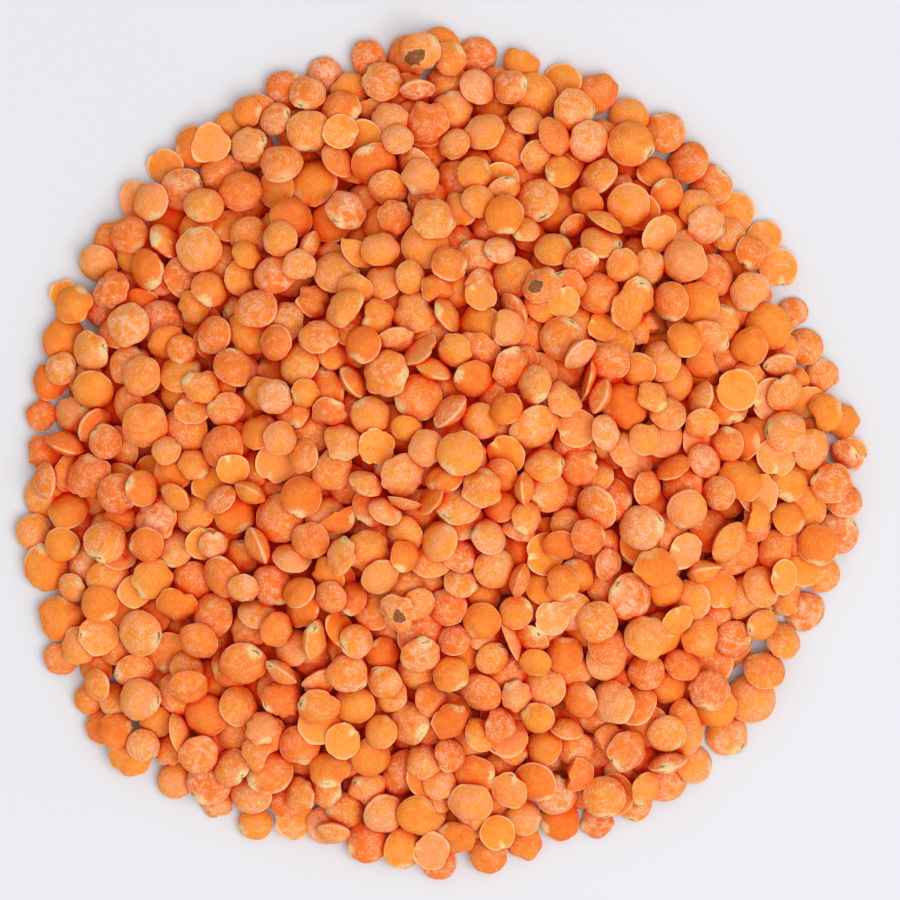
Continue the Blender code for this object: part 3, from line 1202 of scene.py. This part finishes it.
class LENTILS_OT_buried(bpy.types.Operator):
    """Lays the lentils that hardly show, with fewer faces."""

    bl_idname = "lentils.buried"
    bl_label = "Buried lentils"

    def execute(self, context):
        material = lentil_finish("buried_lentil", dusty=False)
        lentils = laid_lentils()
        chosen = (lentils["seen"] < SEEN_ENOUGH) & (lentils["kind"] != "husked")
        add_lentils("buried_lentils", "whole", chosen, material, 14, 3)
        return {"FINISHED"}


def core_points():
    """The core's points: the middle of its base, the base's edge, a low skirt, and rings up to its crown.

    The rings follow core_height out to where it meets the floor, at sines of equal steps.
    """
    angles = np.arange(CORE_SIDES) * 2 * math.pi / CORE_SIDES
    across = sizes().lentil_across
    thick = across * sizes().lentil_thickness
    left = (sizes().filled_depth - thick / 2) / (sizes().heap_high - thick)
    foot = (1 - left) ** (1 / HEAP_FULLNESS)
    shares = np.sin(np.arange(1, CORE_RINGS + 1) / CORE_RINGS * math.pi / 2)
    x, y = on_heap(angles, shares[:, None] * foot, across / 2)
    upper = np.stack([x, y, core_height(x, y) + CORE_ABOVE], axis=-1)[::-1]
    skirt_x, skirt_y = on_heap(angles, 1.0, across * SKIRT_INSET)
    skirt = np.column_stack([skirt_x, skirt_y, np.full(CORE_SIDES, SKIRT_HIGH)])
    crown = [(0, 0, core_height(0.0, 0.0) + CORE_ABOVE)]
    return np.concatenate([[(0, 0, 0)], skirt * (1, 1, 0), skirt, upper.reshape(-1, 3), crown])


class LENTILS_OT_core(bpy.types.Operator):
    """Makes the plain mound inside, which closes the gaps between the lentils."""

    bl_idname = "lentils.core"
    bl_label = "Core"

    def execute(self, context):
        finish = Finish("core", roughness=0.8)
        paint = colours()
        # Painted shade: the core shows only in the gaps between the lentils, so it is coloured the painted
        # shade red, mottled with deep orange
        finish.colour(finish.mix(finish.noise(500.0), tuple(paint.painted_shade_red), tuple(paint.deep)))
        finish.bump(finish.noise(400.0), 1.0, 0.5 * MM)
        corners, totals = ring_faces(CORE_SIDES, CORE_RINGS + 2)
        add_piece("heap_core", mesh_of("heap_core", core_points()[None], corners, totals), finish.material)
        return {"FINISHED"}


def add_floor():
    side = FLOOR_HALF_SIDE
    corners = [(-side, -side, 0), (side, -side, 0), (side, side, 0), (-side, side, 0)]
    mesh = bpy.data.meshes.new("floor")
    mesh.from_pydata(corners, [], [(0, 1, 2, 3)])
    floor = bpy.data.objects.new("floor", mesh)
    bpy.context.scene.collection.objects.link(floor)
    finish = Finish("floor", roughness=0.75, specular=0.2)
    finish.colour(finish.mix(finish.noise(30.0), tuple(colours().floor), FLOOR_CLOUD))
    mesh.materials.append(finish.material)


def add_light():
    """One large soft light above, a little to the right and the front, and an even white room."""
    light = bpy.data.lights.new("key", "AREA")
    light.energy = LIGHT_POWER
    light.size = LIGHT_SIDE
    lamp = bpy.data.objects.new("key", light)
    bpy.context.scene.collection.objects.link(lamp)
    lamp.location = LIGHT_PLACE
    lamp.rotation_mode = "QUATERNION"
    lamp.rotation_quaternion = Vector(LIGHT_PLACE).to_track_quat("Z", "Y")
    world = bpy.data.worlds.new("room")
    world.use_nodes = True
    world.node_tree.nodes["Background"].inputs["Color"].default_value = ROOM_WHITE
    world.node_tree.nodes["Background"].inputs["Strength"].default_value = ROOM_STRENGTH
    bpy.context.scene.world = world
    bpy.context.scene.view_settings.view_transform = "Standard"


def add_camera():
    """A camera that looks straight down, with the heap as large in the frame as in the photograph."""
    data = bpy.data.cameras.new("camera")
    data.sensor_width = SENSOR_WIDE
    data.lens = SENSOR_WIDE * CAMERA_HIGH / FRAME_WIDE
    camera = bpy.data.objects.new("camera", data)
    bpy.context.scene.collection.objects.link(camera)
    camera.location = (CAMERA_X, CAMERA_Y, CAMERA_HIGH)
    bpy.context.scene.camera = camera


class LENTILS_OT_stage(bpy.types.Operator):
    """Makes the floor, the light and the camera that looks straight down."""

    bl_idname = "lentils.stage"
    bl_label = "Floor, light and camera"

    def execute(self, context):
        add_floor()
        add_light()
        add_camera()
        return {"FINISHED"}


class LENTILS_PT_heap(bpy.types.Panel):
    """The heap's sizes and colours, and a button for each of its pieces."""

    bl_label = "Heap of red lentils"
    bl_space_type = "VIEW_3D"
    bl_region_type = "UI"
    bl_category = "Lentils"

    def draw(self, context):
        for group in (context.scene.lentil_heap_sizes, context.scene.lentil_heap_colours):
            for name in group.__annotations__:
                self.layout.prop(group, name)
        for operator in OPERATORS:
            self.layout.operator(operator.bl_idname)


OPERATORS = (
    LENTILS_OT_core,
    LENTILS_OT_buried,
    LENTILS_OT_whole,
    LENTILS_OT_dusty,
    LENTILS_OT_halves,
    LENTILS_OT_chipped,
    LENTILS_OT_husked,
    LENTILS_OT_stage,
)
CLASSES = (LentilHeapSizes, LentilHeapColours, *OPERATORS, LENTILS_PT_heap)


def register():
    for each in CLASSES:
        bpy.utils.register_class(each)
    bpy.types.Scene.lentil_heap_sizes = bpy.props.PointerProperty(type=LentilHeapSizes)
    bpy.types.Scene.lentil_heap_colours = bpy.props.PointerProperty(type=LentilHeapColours)


def unregister():
    del bpy.types.Scene.lentil_heap_colours
    del bpy.types.Scene.lentil_heap_sizes
    for each in reversed(CLASSES):
        bpy.utils.unregister_class(each)


def main():
    register()
    bpy.ops.lentils.core()
    bpy.ops.lentils.buried()
    bpy.ops.lentils.whole()
    bpy.ops.lentils.dusty()
    bpy.ops.lentils.halves()
    bpy.ops.lentils.chipped()
    bpy.ops.lentils.husked()
    bpy.ops.lentils.stage()


if __name__ == "__main__":
    main()
